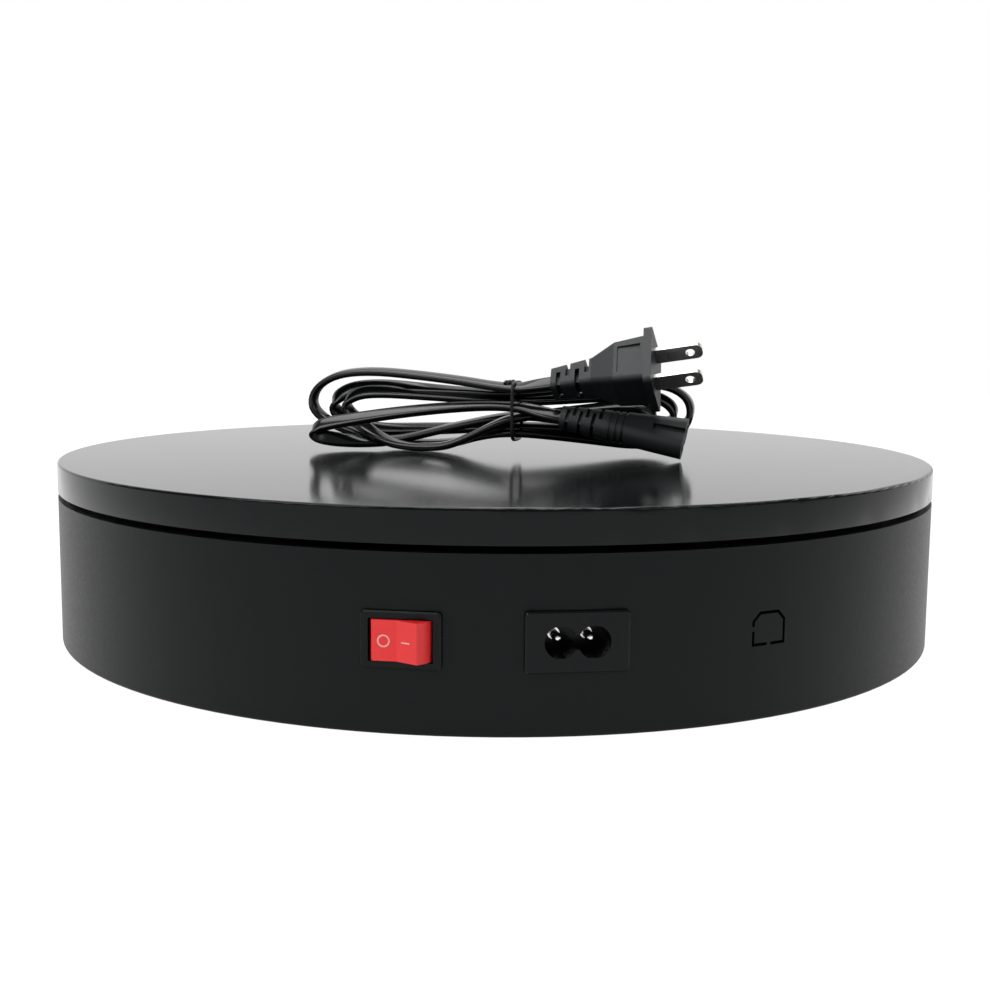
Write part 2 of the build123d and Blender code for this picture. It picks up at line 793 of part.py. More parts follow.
# Mains lead: u runs along the hank from its tie, v away from the front, h up from the platter
hank_plane = Plane(
    origin=(*hank_place, platter_top),
    x_dir=(math.cos(math.radians(hank_turn)), math.sin(math.radians(hank_turn)), 0),
    z_dir=(0, 0, 1),
)


def lying(u, v, h):
    return hank_plane.from_local_coords(Vector(u, v, h))


def pointing(u, v, h):
    return (lying(u, v, h) - lying(0, 0, 0)).normalized()


# Half turns in the order the lead takes them, left and right by turns. Each gives the strand
# that it ends in, counted up from the lowest, and its column, 1 for the back one; where its
# plane crosses the tie, and its bearing; how much it droops; and then how far out and how high
# its bend begins, has its tip and ends.
half_turns = [
    (2, -1, -6.0, -4.2, 0.12, (68.0, 9.4), (77.0, 5.4), (63.0, 3.3)),
    (3, 1, -0.2, 17.0, 0.0, (39.0, 8.6), (49.0, 13.0), (37.0, 17.4)),
    (5, 1, 3.6, 2.0, 0.0, (48.0, 9.2), (65.0, 15.0), (50.0, 20.0)),
    (1, 1, 3.3, 17.0, 0.0, (41.0, 21.6), (56.0, 13.2), (43.0, 5.2)),
    (6, 1, 3.6, 2.0, 0.0, (50.0, 5.4), (71.0, 15.0), (52.0, 24.0)),
    (0, -1, 3.3, 17.0, 0.0, (44.0, 25.6), (62.0, 14.0), (46.0, 1.8)),
    (7, -1, -4.0, 2.0, 0.0, (33.0, 2.3), (79.5, 17.0), (53.0, 28.4)),
]
connector_strand = (4, -1)
connector_place = (18.7, -5.1, 13.7)
connector_axis = (1.0, 0.06, -0.15)
plug_place = (15.0, -3.1, 25.3)
plug_axis = (1.0, 0.04, 0.155)


def strand_at_tie(level, column):
    """Where a strand passes through the tie, and its height."""
    height = waist_low + level * waist_step
    return lying(0, column * waist_half, height), height


def hank_stations():
    """Places and directions along the lead, from the connector to the plug."""
    up = pointing(0, 0, 1)
    away = -pointing(*connector_axis)
    behind = lying(*connector_place) + away * cord_width
    stations = [(behind, away)]
    strand, height = strand_at_tie(*connector_strand)
    side = -1
    for level, column, offset, bearing, droop, start, tip, end in half_turns:
        next_strand, next_height = strand_at_tie(level, column)
        along = side * math.cos(math.radians(bearing))
        aside = math.sin(math.radians(bearing))
        bend_start, bend_tip, bend_end = (
            lying(reach * along, offset + reach * aside, bend_height)
            for reach, bend_height in (start, tip, end)
        )
        slope_out = shoulder_lean * (start[1] - height) / start[0] - droop
        slope_back = shoulder_lean * (end[1] - next_height) / end[0] - droop
        stations.append((strand, (bend_start - behind).normalized()))
        stations.append((bend_start, pointing(along, aside, slope_out)))
        stations.append((bend_tip, up if end[1] > start[1] else -up))
        stations.append((bend_end, -pointing(along, aside, slope_back)))
        behind = bend_end
        strand, height = next_strand, next_height
        side = -side
    arriving = pointing(*plug_axis)
    last = lying(*plug_place) - arriving * cord_width
    stations.append((strand, (last - behind).normalized()))
    stations.append((last, arriving))
    return stations


def biarc_joint(place, direction, next_place, next_direction):
    """Where two arcs meet that leave one station and arrive at the next, and their direction there."""
    chord = next_place - place
    both = direction + next_direction
    scale = 2 * (1 - direction.dot(next_direction))
    if scale < 1e-9:
        reach = chord.dot(chord) / (4 * chord.dot(next_direction))
    else:
        dot = chord.dot(both)
        reach = (math.sqrt(dot * dot + scale * chord.dot(chord)) - dot) / scale
    near = place + direction * reach
    far = next_place - next_direction * reach
    return (near + far) * 0.5, (far - near).normalized()


stations = hank_stations()
with BuildPart() as power_cord:
    with BuildLine() as cord_route:
        Line(lying(*connector_place), stations[0][0])
        for (place, direction), (next_place, next_direction) in zip(stations, stations[1:]):
            joint, joint_direction = biarc_joint(place, direction, next_place, next_direction)
            TangentArc(place, joint, tangent=direction)
            TangentArc(joint, next_place, tangent=joint_direction)
        Line(stations[-1][0], lying(*plug_place))
    with BuildSketch(Plane(
        origin=lying(*connector_place),
        x_dir=pointing(0, 1, 0),
        z_dir=-pointing(*connector_axis),
    )):
        half_wide = cord_width / 2
        half_thick = cord_thickness / 2
        Polygon(
            (half_wide, cord_corner - half_thick),
            (half_wide, half_thick - cord_corner),
            (half_wide - cord_corner, half_thick),
            (cord_corner - half_wide, half_thick),
            (-half_wide, half_thick - cord_corner),
            (-half_wide, cord_corner - half_thick),
            (cord_corner - half_wide, -half_thick),
            (half_wide - cord_corner, -half_thick),
            align=None,
        )
    sweep(path=cord_route.line)
finish(power_cord, "power_cord")

# The lead's length, its tightest bends and the least gap between its strands
route_wire = cord_route.wire()
bend_radii = sorted(arc.radius for arc in cord_route.edges().filter_by(GeomType.CIRCLE))
sample_step = 1.0
sample_count = int(route_wire.length / sample_step)
across = pointing(0, 1, 0)
surface = []
for number in range(sample_count + 1):
    middle = route_wire.position_at(number / sample_count)
    along = route_wire.tangent_at(number / sample_count)
    thick_way = along.cross(across).normalized()
    wide_way = thick_way.cross(along)
    flat_half = cord_width / 2 - cord_corner
    edge_half = cord_thickness / 2 - cord_corner
    for sideways, upward in (
        (cord_width / 2, edge_half),
        (cord_width / 2, -edge_half),
        (flat_half, cord_thickness / 2),
        (flat_half, -cord_thickness / 2),
        (0, cord_thickness / 2),
        (0, -cord_thickness / 2),
        (-flat_half, cord_thickness / 2),
        (-flat_half, -cord_thickness / 2),
        (-cord_width / 2, edge_half),
        (-cord_width / 2, -edge_half),
    ):
        point = middle + wide_way * sideways + thick_way * upward
        surface.append((point.X, point.Y, point.Z, number * sample_step))
# Points that lie within one cell of each other are compared, but not neighbours along the lead
cell = cord_thickness
cells = {}
for point in surface:
    cells.setdefault(tuple(int(value // cell) for value in point[:3]), []).append(point)
least_gap = cell
for (i, j, k), points in cells.items():
    beside = [
        other
        for di in (-1, 0, 1) for dj in (-1, 0, 1) for dk in (-1, 0, 1)
        for other in cells.get((i + di, j + dj, k + dk), ())
    ]
    for point in points:
        for other in beside:
            if abs(point[3] - other[3]) > 3 * cord_width:
                least_gap = min(least_gap, math.dist(point[:3], other[:3]))
section_area = cord_width * cord_thickness - 2 * cord_corner**2
volume_share = power_cord.part.volume / (section_area * route_wire.length)
print("lead length", round(route_wire.length, 1), "volume over section times length", round(volume_share, 4))
print("tightest radii", [round(value, 1) for value in bend_radii[:6]])
print("least gap between strands", round(least_gap, 2))

# Tie round the hank, its ends twisted together on top
tie_reach = cord_thickness / 2 + tie_clear
tie_low = waist_low - tie_reach
tie_high = waist_low + len(half_turns) * waist_step + tie_reach
tie_half = waist_half + cord_width / 2 + tie_clear
with BuildPart() as cord_tie:
    with BuildSketch(Plane(
        origin=lying(-tie_wire / 2, 0, (tie_low + tie_high) / 2), x_dir=across, z_dir=pointing(1, 0, 0)
    )):
        RectangleRounded(2 * (tie_half + tie_wire), tie_high - tie_low + 2 * tie_wire, tie_corner)
        RectangleRounded(2 * tie_half, tie_high - tie_low, tie_corner - tie_wire, mode=Mode.SUBTRACT)
    extrude(amount=tie_wire)
    fillet(cord_tie.edges(), tie_wire / 3)
    with BuildSketch(Plane(origin=lying(0, 0, tie_high + tie_tail_radius), z_dir=pointing(-1, -0.3, 0.12))):
        Circle(tie_tail_radius)
    extrude(amount=tie_tail_length)
finish(cord_tie, "cord_tie")


# Plug and connector, each drawn in a plane whose X runs along the row of blades or sockets and
# whose Z points away from the lead
def rolled_plane(place, axis):
    roll = math.radians(plug_roll)
    return Plane(
        origin=lying(*place), x_dir=pointing(0, math.cos(roll), math.sin(roll)), z_dir=pointing(*axis)
    )


def relief_slots(plane, count, width, pitch, reach):
    """A strain relief's slots, from one side and the other by turns, down to its core."""
    slots = []
    for number in range(count):
        slot_side = 1 if number % 2 else -1
        with BuildPart() as slot:
            with BuildSketch(plane.offset(relief_first + number * pitch)):
                with Locations((slot_side * (reach - relief_overlap), 0)):
                    Rectangle(2 * reach, 2 * reach)
                Rectangle(*relief_core, mode=Mode.SUBTRACT)
            extrude(amount=width)
        slots.append(slot.part)
    return slots


plug_plane = rolled_plane(plug_place, plug_axis)
plug_front = plug_back_at + plug_flange_thickness
plug_relief_slots = relief_slots(plug_plane, plug_slots, plug_slot, plug_slot_pitch, plug_flange[0])
with BuildPart() as plug_body:
    for distance, size in (
        (0, plug_relief),
        (plug_neck_at, plug_neck),
        (plug_shoulder_at, plug_shoulder),
        (plug_back_at, plug_back),
    ):
        with BuildSketch(plug_plane.offset(distance)):
            RectangleRounded(*size, plug_corner)
    loft(ruled=True)
    with BuildSketch(plug_plane.offset(plug_back_at)):
        RectangleRounded(*plug_flange, plug_corner)
    extrude(amount=plug_flange_thickness)
    for slot in plug_relief_slots:
        add(slot, mode=Mode.SUBTRACT)
    # Sunk panel on the broad face
    panel_middle = (plug_shoulder_at + plug_back_at) / 2
    with BuildSketch(Plane(
        origin=plug_plane.from_local_coords(Vector(0, plug_shoulder[1] / 2 - plug_panel_depth, panel_middle)),
        x_dir=plug_plane.z_dir,
        z_dir=plug_plane.y_dir,
    )):
        Rectangle(*plug_panel)
    extrude(amount=plug_back[1], mode=Mode.SUBTRACT)
finish(plug_body, "plug_body")

with BuildPart() as plug_blades:
    with BuildSketch(plug_plane.offset(plug_front)):
        with GridLocations(blade_spacing, 0, 2, 1):
            Rectangle(blade_thickness, blade_width)
    extrude(amount=blade_length)
    blade_ends = plug_blades.faces().group_by(Axis((0, 0, 0), plug_plane.z_dir))[-1].edges()
    fillet(
        plug_blades.edges().filter_by(Axis((0, 0, 0), plug_plane.x_dir)).filter_by(
            lambda edge: edge in blade_ends
        ),
        blade_round,
    )
    hole_middle = plug_front + blade_length - blade_hole_from_tip
    with BuildSketch(Plane(
        origin=plug_plane.from_local_coords(Vector(-blade_spacing, 0, hole_middle)),
        z_dir=plug_plane.x_dir,
    )):
        Circle(blade_hole)
    extrude(amount=2 * blade_spacing, mode=Mode.SUBTRACT)
finish(plug_blades, "plug_blades")

connector_plane = rolled_plane(connector_place, connector_axis)
connector_relief_slots = relief_slots(
    connector_plane, connector_slots, connector_slot, connector_slot_pitch, connector_tip[0]
)
with BuildPart() as cord_connector:
    for distance, size in (
        (0, connector_relief),
        (connector_neck_at, connector_neck),
        (connector_length, connector_tip),
    ):
        with BuildSketch(connector_plane.offset(distance)):
            SlotOverall(*size)
    loft(ruled=True)
    for slot in connector_relief_slots:
        add(slot, mode=Mode.SUBTRACT)
    # Grip grooves round the neck
    for number in range(ring_grooves):
        with BuildSketch(connector_plane.offset(connector_neck_at + ring_groove + number * ring_groove_pitch)):
            Rectangle(2 * connector_tip[0], 2 * connector_tip[1])
            SlotOverall(
                connector_neck[0] - 2 * ring_groove_depth,
                connector_neck[1] - 2 * ring_groove_depth,
                mode=Mode.SUBTRACT,
            )
        extrude(amount=ring_groove, mode=Mode.SUBTRACT)
    # Grooves that make the tip a figure of eight, and the sockets
    with BuildSketch(connector_plane.offset(connector_length)):
        with GridLocations(0, connector_tip[1], 1, 2):
            Rectangle(key_groove_width, 2 * key_groove_depth)
    extrude(amount=-key_groove_length, mode=Mode.SUBTRACT)
    with BuildSketch(connector_plane.offset(connector_length)):
        with GridLocations(pin_spacing, 0, 2, 1):
            Circle(socket_radius)
    extrude(amount=-socket_depth, mode=Mode.SUBTRACT)
finish(cord_connector, "cord_connector")
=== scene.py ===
"""Finishes, tied-up mains lead and studio for the rotating display turntable.

Metres, +Z up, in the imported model's frame: the origin is on the floor under the middle of the
base, and the side with the switch and the inlet faces -Y.
"""
import math
from typing import NamedTuple

import bmesh
import bpy
from bpy.props import FloatProperty, FloatVectorProperty, PointerProperty
from mathutils import Matrix, Vector


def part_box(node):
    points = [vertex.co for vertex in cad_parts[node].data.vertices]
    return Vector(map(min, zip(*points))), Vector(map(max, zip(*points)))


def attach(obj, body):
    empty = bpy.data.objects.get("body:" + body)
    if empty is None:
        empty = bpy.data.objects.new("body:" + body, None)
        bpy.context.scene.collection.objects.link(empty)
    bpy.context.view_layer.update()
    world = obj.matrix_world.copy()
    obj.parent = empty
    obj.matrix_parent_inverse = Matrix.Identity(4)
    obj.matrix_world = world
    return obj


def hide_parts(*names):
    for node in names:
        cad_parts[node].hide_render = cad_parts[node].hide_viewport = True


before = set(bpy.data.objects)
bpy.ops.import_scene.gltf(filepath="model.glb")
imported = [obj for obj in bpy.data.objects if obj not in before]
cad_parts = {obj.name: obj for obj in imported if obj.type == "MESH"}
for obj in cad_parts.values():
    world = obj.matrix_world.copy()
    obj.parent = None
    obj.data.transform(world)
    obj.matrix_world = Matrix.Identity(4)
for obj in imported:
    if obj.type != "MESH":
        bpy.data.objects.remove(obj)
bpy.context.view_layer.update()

bl_info = {
    "name": "Display turntable",
    "version": (1, 0, 0),
    "blender": (4, 5, 0),
    "location": "View3D > Sidebar > Turntable",
    "description": "Finishes, mains lead and studio for a packed display turntable",
    "category": "Object",
}

# Switch in the base's wall, as in the part's source
radius = 0.150
fitting_height = 0.026
switch_angle = math.radians(-9.0)
rocker_face = 0.0017        # flat end of the rocker, out of the wall
rocker_valley = -0.0008     # where the rocker's raised end begins, from its middle
rocker_slope = math.radians(26.0)

# Hank of the mains lead: u runs along it, v away from the front, h up from the platter
platter_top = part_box("platter")[1].z
hank_place = (0.0065, -0.0050)
hank_turn = math.radians(-17.4)
shoulder_lean = 0.4         # how far a strand's slope carries on into its bend
connector_strand = (4.6, -1)
connector_place = (0.0187, -0.0051, 0.0137)
connector_axis = (1.0, 0.06, -0.15)
plug_place = (0.0150, -0.0031, 0.0253)
plug_axis = (1.0, 0.04, 0.155)
plug_roll = math.radians(45.0)
end_tuck = 0.002            # how far the lead runs on inside the plug and the connector


class HalfTurn(NamedTuple):
    """The lead from one strand at the tie out, round a bend and back to the next strand."""

    level: float        # of the strand that it ends in, in steps up from the lowest one
    column: float       # of that strand, -1 in front and 1 behind
    offset: float       # from the tie's middle to the bend's plane, away from the front
    bearing: float      # of that plane against the hank, in degrees
    droop: float        # how much it sags, as a slope
    start: tuple        # how far out and how high the bend begins
    tip: tuple          # how far out and how high its tip is
    end: tuple          # how far out and how high it ends
    start_lean: float   # how many degrees the flat side leans forward where it begins
    end_lean: float     # and where it ends


# In the lead's order, left and right by turns
half_turns = [HalfTurn(*values) for values in (
    (2.9, 1, -0.0060, -4.2, 0.12, (0.0660, 0.0094), (0.0722, 0.0060), (0.0620, 0.0038), 48, 62),
    (2.4, -1, -0.0002, 17.0, 0.0, (0.0390, 0.0086), (0.0490, 0.0130), (0.0370, 0.0174), 40, 40),
    (4.8, 1, 0.0015, 2.0, 0.0, (0.0600, 0.0105), (0.0660, 0.0158), (0.0490, 0.0212), 45, 50),
    (1.0, 1, 0.0033, 17.0, 0.0, (0.0400, 0.0216), (0.0560, 0.0145), (0.0420, 0.0075), 30, 50),
    (6.1, 1, 0.0042, 2.0, 0.0, (0.0500, 0.0060), (0.0722, 0.0154), (0.0500, 0.0230), 45, 70),
    (0.3, -0.6, 0.0033, 17.0, 0.0, (0.0420, 0.0256), (0.0620, 0.0165), (0.0410, 0.0029), 0, 40),
    (6.9, -1, 0.0025, 0.0, 0.0, (0.0330, 0.0020), (0.0790, 0.0170), (0.0520, 0.0289), 12, 12),
)]
# Places along the hank on the way out to a bend and back from one, with their lean in degrees,
# by the number of the half turn from 0: the first comes back low down and behind the third, and
# the third goes out over the platter in front of the others
ways_out = {
    2: [
        (-0.0070, -0.0055, 0.0098, 15),
        (-0.0160, -0.0072, 0.0050, 10),
        (-0.0245, -0.0080, 0.0018, 5),
        (-0.0400, -0.0078, 0.0018, 5),
        (-0.0500, -0.0052, 0.0047, 20),
        (-0.0575, -0.0015, 0.0084, 35),
    ],
    6: [(-0.0130, 0.0010, 0.0060, 15), (-0.0250, 0.0025, 0.0021, 15)],
}
ways_back = {
    0: [
        (-0.0550, -0.0060, 0.0027, 25),
        (-0.0460, -0.0012, 0.0030, 20),
        (-0.0370, 0.0010, 0.0052, 15),
        (-0.0220, 0.0018, 0.0090, 15),
    ],
}


class TurntableFinishes(bpy.types.PropertyGroup):
    """Colours of the turntable's pieces."""

    housing: FloatVectorProperty(
        name="Housing", description="Moulded base and platter",
        subtype="COLOR", default=(0.0042, 0.0054, 0.0058),
    )
    rocker: FloatVectorProperty(
        name="Rocker", description="The switch's rocker",
        subtype="COLOR", default=(0.86, 0.026, 0.027),
    )
    marks: FloatVectorProperty(
        name="Marks", description="Off and on marks on the rocker",
        subtype="COLOR", default=(0.90, 0.46, 0.44),
    )
    plug: FloatVectorProperty(
        name="Plug", description="Plug and connector of the mains lead",
        subtype="COLOR", default=(0.0135, 0.0160, 0.0175),
    )
    sheath: FloatVectorProperty(
        name="Sheath", description="Sheath of the mains lead",
        subtype="COLOR", default=(0.0030, 0.0036, 0.0038),
    )


class TurntableLead(bpy.types.PropertyGroup):
    """Sizes of the mains lead and its tie."""

    length: FloatProperty(
        name="Length", description="Whole lead between connector and plug",
        unit="LENGTH", default=1.020,
    )
    width: FloatProperty(
        name="Width", description="Flat cord, across both cores", unit="LENGTH", default=0.0054,
    )
    thickness: FloatProperty(
        name="Thickness", description="Flat cord, through one core",
        unit="LENGTH", default=0.0027,
    )
    tilt: FloatProperty(
        name="Tilt", description="How far the flat side leans forward at the tie",
        subtype="ANGLE", default=math.radians(15.0),
    )
    waist_low: FloatProperty(
        name="Waist height", description="Lowest strand above the platter at the tie",
        unit="LENGTH", default=0.0073,
    )
    waist_step: FloatProperty(
        name="Waist step", description="Rise from one strand to the next at the tie",
        unit="LENGTH", default=0.00225,
    )
    waist_half: FloatProperty(
        name="Waist half width", description="From the tie's middle to either column of strands",
        unit="LENGTH", default=0.00275,
    )
    tie_wire: FloatProperty(
        name="Tie wire", description="Coated wire of the tie, across",
        unit="LENGTH", default=0.0013,
    )


class TurntableStudio(bpy.types.PropertyGroup):
    """Camera, lamps and surroundings."""

    camera_height: FloatProperty(
        name="Camera height", description="Above the floor", unit="LENGTH", default=0.1053,
    )
    camera_distance: FloatProperty(
        name="Camera distance", description="In front of the turntable's axis",
        unit="LENGTH", default=0.480,
    )
    camera_pitch: FloatProperty(
        name="Pitch", description="How far the camera looks down",
        subtype="ANGLE", default=math.radians(7.24),
    )
    camera_roll: FloatProperty(
        name="Roll", description="How far the camera leans",
        subtype="ANGLE", default=math.radians(0.48),
    )
    lens: FloatProperty(name="Lens", description="Focal length in millimetres", default=48.7)
    overhead_power: FloatProperty(
        name="Overhead lamp", description="Watts of the softbox overhead", default=13.5,
    )
    left_power: FloatProperty(
        name="Left lamp", description="Watts of the softbox at the front left", default=9.0,
    )
    right_power: FloatProperty(
        name="Right lamp", description="Watts of the softbox at the front right", default=3.5,
    )
    surround: FloatProperty(
        name="Surround", description="Brightness of the room", default=0.20,
    )


# Pieces
def link_piece(name, mesh, material, body):
    """A new piece from a mesh, with its finish, riding on a body."""
    piece = bpy.data.objects.new(name, mesh)
    bpy.context.scene.collection.objects.link(piece)
    mesh.materials.append(material)
    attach(piece, body)
    return piece


def smooth_line(points, steps):
    """Points along the smooth line that has these control points."""
    curve = bpy.data.curves.new("line", "CURVE")
    curve.dimensions = "3D"
    curve.resolution_u = steps
    spline = curve.splines.new("NURBS")
    spline.points.add(len(points) - 1)
    for control, point in zip(spline.points, points):
        control.co = (*point, 1.0)
    spline.order_u = 3
    spline.use_endpoint_u = True
    holder = bpy.data.objects.new("line", curve)
    bpy.context.scene.collection.objects.link(holder)
    mesh = bpy.data.meshes.new_from_object(holder)
    line = [vertex.co.copy() for vertex in mesh.vertices]
    bpy.data.objects.remove(holder)
    bpy.data.curves.remove(curve)
    bpy.data.meshes.remove(mesh)
    return line


def directions(line):
    """Direction of a line at each of its points."""
    ends = [line[0] * 2 - line[1]] + line + [line[-1] * 2 - line[-2]]
    return [(after - before).normalized() for before, after in zip(ends, ends[2:])]


def tube(name, line, wide_ways, profile, closed=False):
    """Mesh of a tube that follows a line, its section's first axis along wide_ways."""
    along_ways = directions(line)
    if closed:
        along_ways[0] = along_ways[-1] = (line[1] - line[-2]).normalized()
    work = bmesh.new()
    rings = []
    for point, along, wide in zip(line, along_ways, wide_ways):
        thick_way = along.cross(wide).normalized()
        wide_way = thick_way.cross(along)
        rings.append([
            work.verts.new(point + wide_way * across + thick_way * up) for across, up in profile
        ])
    if not closed:
        work.faces.new(rings[0])
        work.faces.new(rings[-1])
    for ring, next_ring in zip(rings, rings[1:]):
        for side in range(len(profile)):
            other = (side + 1) % len(profile)
            work.faces.new((ring[side], ring[other], next_ring[other], next_ring[side]))
    if closed:
        bmesh.ops.remove_doubles(work, verts=work.verts, dist=0.000001)
    bmesh.ops.recalc_face_normals(work, faces=work.faces)
    mesh = bpy.data.meshes.new(name)
    work.to_mesh(mesh)
    work.free()
    mesh.shade_smooth()
    return mesh


def rounded_profile(wide, thick, squareness, count):
    """Points round a flattened section, an oval at squareness 2 and squarer above it."""
    points = []
    for number in range(count):
        angle = 2 * math.pi * number / count
        c, s = math.cos(angle), math.sin(angle)
        across = math.copysign(abs(c) ** (2 / squareness), c) * wide / 2
        up = math.copysign(abs(s) ** (2 / squareness), s) * thick / 2
        points.append((across, up))
    return points


# Materials
def new_material(name, colour, roughness, metallic=0.0, specular=0.5):
    """A material with one main shader, its even values on the shader itself."""
    material = bpy.data.materials.new(name)
    material.use_nodes = True
    shader = material.node_tree.nodes["Principled BSDF"]
    shader.inputs["Base Color"].default_value = (*colour, 1.0)
    shader.inputs["Roughness"].default_value = roughness
    shader.inputs["Metallic"].default_value = metallic
    shader.inputs["Specular IOR Level"].default_value = specular
    return material


def noise(material, scale, detail=2.0, stretch=(1.0, 1.0, 1.0)):
    """Noise in the piece's own space, so many lumps to the metre."""
    nodes, links = material.node_tree.nodes, material.node_tree.links
    place = nodes.new("ShaderNodeTexCoord")
    mapping = nodes.new("ShaderNodeMapping")
    mapping.inputs["Scale"].default_value = stretch
    texture = nodes.new("ShaderNodeTexNoise")
    texture.inputs["Scale"].default_value = scale
    texture.inputs["Detail"].default_value = detail
    links.new(place.outputs["Object"], mapping.inputs["Vector"])
    links.new(mapping.outputs["Vector"], texture.inputs["Vector"])
    return texture.outputs["Fac"]


def add_bump(material, height, depth):
    """Relief of that depth, on top of any relief the material already has."""
    nodes, links = material.node_tree.nodes, material.node_tree.links
    socket = nodes["Principled BSDF"].inputs["Normal"]
    bump = nodes.new("ShaderNodeBump")
    bump.inputs["Distance"].default_value = depth
    links.new(height, bump.inputs["Height"])
    if socket.is_linked:
        links.new(socket.links[0].from_socket, bump.inputs["Normal"])
    links.new(bump.outputs["Normal"], socket)


def vary(material, socket_name, amount, low, high):
    """The shader's value goes from low to high with amount, over the reach that noise has."""
    noise_reach = (0.3, 0.7)
    nodes, links = material.node_tree.nodes, material.node_tree.links
    spread = nodes.new("ShaderNodeMapRange")
    spread.inputs["From Min"].default_value = noise_reach[0]
    spread.inputs["From Max"].default_value = noise_reach[1]
    spread.inputs["To Min"].default_value = low
    spread.inputs["To Max"].default_value = high
    links.new(amount, spread.inputs["Value"])
    links.new(spread.outputs["Result"], nodes["Principled BSDF"].inputs[socket_name])


def vary_colour(material, amount, colour, other):
    """The colour goes from one to the other with amount."""
    nodes, links = material.node_tree.nodes, material.node_tree.links
    mix = nodes.new("ShaderNodeMix")
    mix.data_type = "RGBA"
    mix.inputs["A"].default_value = (*colour, 1.0)
    mix.inputs["B"].default_value = (*other, 1.0)
    links.new(amount, mix.inputs["Factor"])
    links.new(mix.outputs["Result"], nodes["Principled BSDF"].inputs["Base Color"])


def shade(colour, times):
    """A colour made darker or lighter, up to white."""
    return tuple(min(1.0, value * times) for value in colour)


def moulded_plastic(name, colour, roughness, grain, depth, specular, uneven=0.04):
    """Plastic with the even relief of a textured mould, so many grains to the metre."""
    material = new_material(name, colour, roughness, specular=specular)
    add_bump(material, noise(material, grain, detail=3.0), depth)
    patches = noise(material, grain / 3, detail=4.0)
    vary(material, "Roughness", patches, roughness - uneven, roughness + uneven)
    clouds = noise(material, 60.0)
    vary_colour(material, clouds, shade(colour, 0.93), shade(colour, 1.07))
    return material


def metal(name, colour, roughness, brushed=(1.0, 1.0, 1.0)):
    """Metal with fine marks, drawn out where it is brushed."""
    material = new_material(name, colour, roughness, metallic=1.0)
    scratches = noise(material, 1200.0, detail=4.0, stretch=brushed)
    add_bump(material, scratches, depth=0.000004)
    smears = noise(material, 400.0, detail=3.0)
    vary(material, "Roughness", smears, roughness * 0.75, roughness * 1.3)
    clouds = noise(material, 150.0)
    vary_colour(material, clouds, shade(colour, 0.9), shade(colour, 1.05))
    return material


def dress(node_names, material):
    """Gives CAD nodes their finish."""
    for name in node_names:
        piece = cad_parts[name]
        piece.data.materials.clear()
        piece.data.materials.append(material)


class TURNTABLE_OT_housing(bpy.types.Operator):
    """Finish the moulded base, its cover, the platter and the feet"""

    bl_idname = "turntable.housing"
    bl_label = "Housing and Platter"

    def execute(self, context):
        colour = tuple(context.scene.turntable_finishes.housing)
        base = moulded_plastic(
            "base_plastic", colour,
            roughness=0.38, grain=3200.0, depth=0.00001, specular=0.15,
        )
        dress(["base_housing"], base)
        platter = moulded_plastic(
            "platter_plastic", colour,
            roughness=0.12, grain=2200.0, depth=0.000002, specular=0.16, uneven=0.015,
        )
        ripples = noise(platter, 700.0, detail=1.0)
        add_bump(platter, ripples, depth=0.000004)
        dress(["platter"], platter)
        # Even shading round the platter's rounded edge
        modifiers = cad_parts["platter"].modifiers
        modifiers.new("joined", "WELD").merge_threshold = 0.00001
        modifiers.new("even_shading", "WEIGHTED_NORMAL").weight = 60
        cover = moulded_plastic(
            "cover_plastic", shade(colour, 1.3),
            roughness=0.5, grain=2400.0, depth=0.00002, specular=0.3,
        )
        dress(["bottom_cover"], cover)
        rubber = moulded_plastic(
            "foot_rubber", shade(colour, 1.6),
            roughness=0.75, grain=1800.0, depth=0.00004, specular=0.3,
        )
        dress([f"rubber_foot_{number}" for number in range(1, 5)], rubber)
        return {"FINISHED"}


class TURNTABLE_OT_workings(bpy.types.Operator):
    """Finish the ball race, motor, hub, screws and inner leads"""

    bl_idname = "turntable.workings"
    bl_label = "Workings"

    def execute(self, context):
        drawn = (1.0, 1.0, 12.0)
        turned = (1.0, 1.0, 30.0)
        dress(
            ["cover_screws", "motor_screws", "hub_screws", "hub_set_screw"],
            metal("screw_steel", (0.55, 0.55, 0.56), 0.32, turned),
        )
        dress(
            ["bearing_lower_race", "bearing_upper_race"],
            metal("race_steel", (0.60, 0.60, 0.60), 0.30),
        )
        dress(["bearing_balls"], metal("ball_steel", (0.75, 0.75, 0.76), 0.10))
        dress(
            ["motor_can", "motor_end_plate"],
            metal("motor_steel", (0.58, 0.58, 0.55), 0.42, drawn),
        )
        dress(["motor_shaft"], metal("shaft_steel", (0.62, 0.62, 0.63), 0.22, turned))
        dress(["motor_bush"], metal("bush_brass", (0.78, 0.58, 0.28), 0.30, turned))
        dress(["drive_hub"], metal("hub_aluminium", (0.77, 0.78, 0.79), 0.35, turned))
        dress(["switch_terminals"], metal("terminal_brass", (0.80, 0.62, 0.32), 0.28, drawn))
        cage = moulded_plastic(
            "cage_plastic", (0.72, 0.71, 0.66),
            roughness=0.45, grain=1500.0, depth=0.00002, specular=0.5,
        )
        dress(["bearing_cage"], cage)
        for node, name, colour in (
            ("inlet_switch_lead", "lead_brown", (0.16, 0.06, 0.025)),
            ("switch_motor_lead", "lead_black", (0.012, 0.012, 0.012)),
            ("inlet_motor_lead", "lead_blue", (0.03, 0.12, 0.45)),
        ):
            insulation = moulded_plastic(
                name, colour, roughness=0.35, grain=900.0, depth=0.00001, specular=0.5,
            )
            dress([node], insulation)
        return {"FINISHED"}


